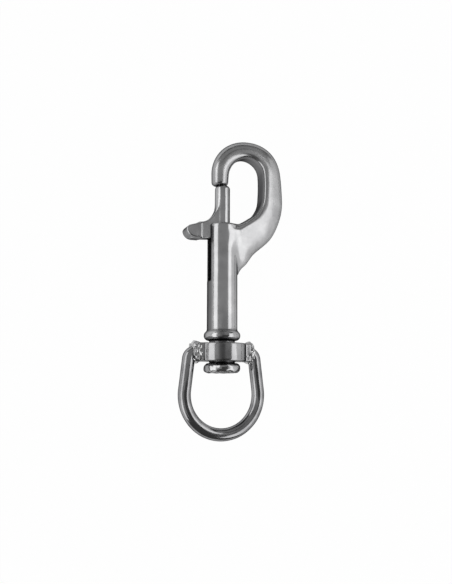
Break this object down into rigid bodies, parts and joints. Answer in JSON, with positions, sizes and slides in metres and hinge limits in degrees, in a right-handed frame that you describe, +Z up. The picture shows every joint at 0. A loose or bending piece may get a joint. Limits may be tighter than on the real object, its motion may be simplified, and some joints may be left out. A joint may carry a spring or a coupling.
{
  "type": "swivel snap hook",
  "caption": "Cast steel snap hook with a spring-loaded thumb bolt that closes its mouth and a welded round-wire eye that swivels on a riveted stem.",
  "frame": {"origin": "under the middle of the outline, on the surface that the hook lies on", "axes": "+Y along the hook's length towards the arch, +X towards the limb and away from the thumb lever, +Z up from the surface it lies on"},
  "size_m": [0.0376, 0.1031, 0.0163],
  "materials": {
    "polished_steel": "cast stainless steel, tumbled and polished to a soft shine",
    "spring_steel": "bright drawn wire",
    "weld_steel": "rough weld metal, lightly ground"
  },
  "bodies": {
    "hook": {"hook_body": "polished_steel", "spring": "spring_steel"},
    "thumb_bolt": {"bolt": "polished_steel"},
    "eye": {"eye_hub": "polished_steel", "eye_bow": "polished_steel", "weld_left": "weld_steel", "weld_right": "weld_steel"}
  },
  "joints": [
    {"name": "bolt_slide", "type": "slide", "parent": "hook", "child": "thumb_bolt", "axis": [0, -0.9979, 0.0645], "range_m": [0, 0.0138], "stiffness_N_per_m": 300, "springref_m": -0.006, "deforming": ["spring"]},
    {"name": "eye_swivel", "type": "hinge", "parent": "hook", "child": "eye", "pos_m": [-0.00355, -0.02241, 0.00815], "axis": [0, 0.9979, -0.0645], "continuous": true}
  ]
}
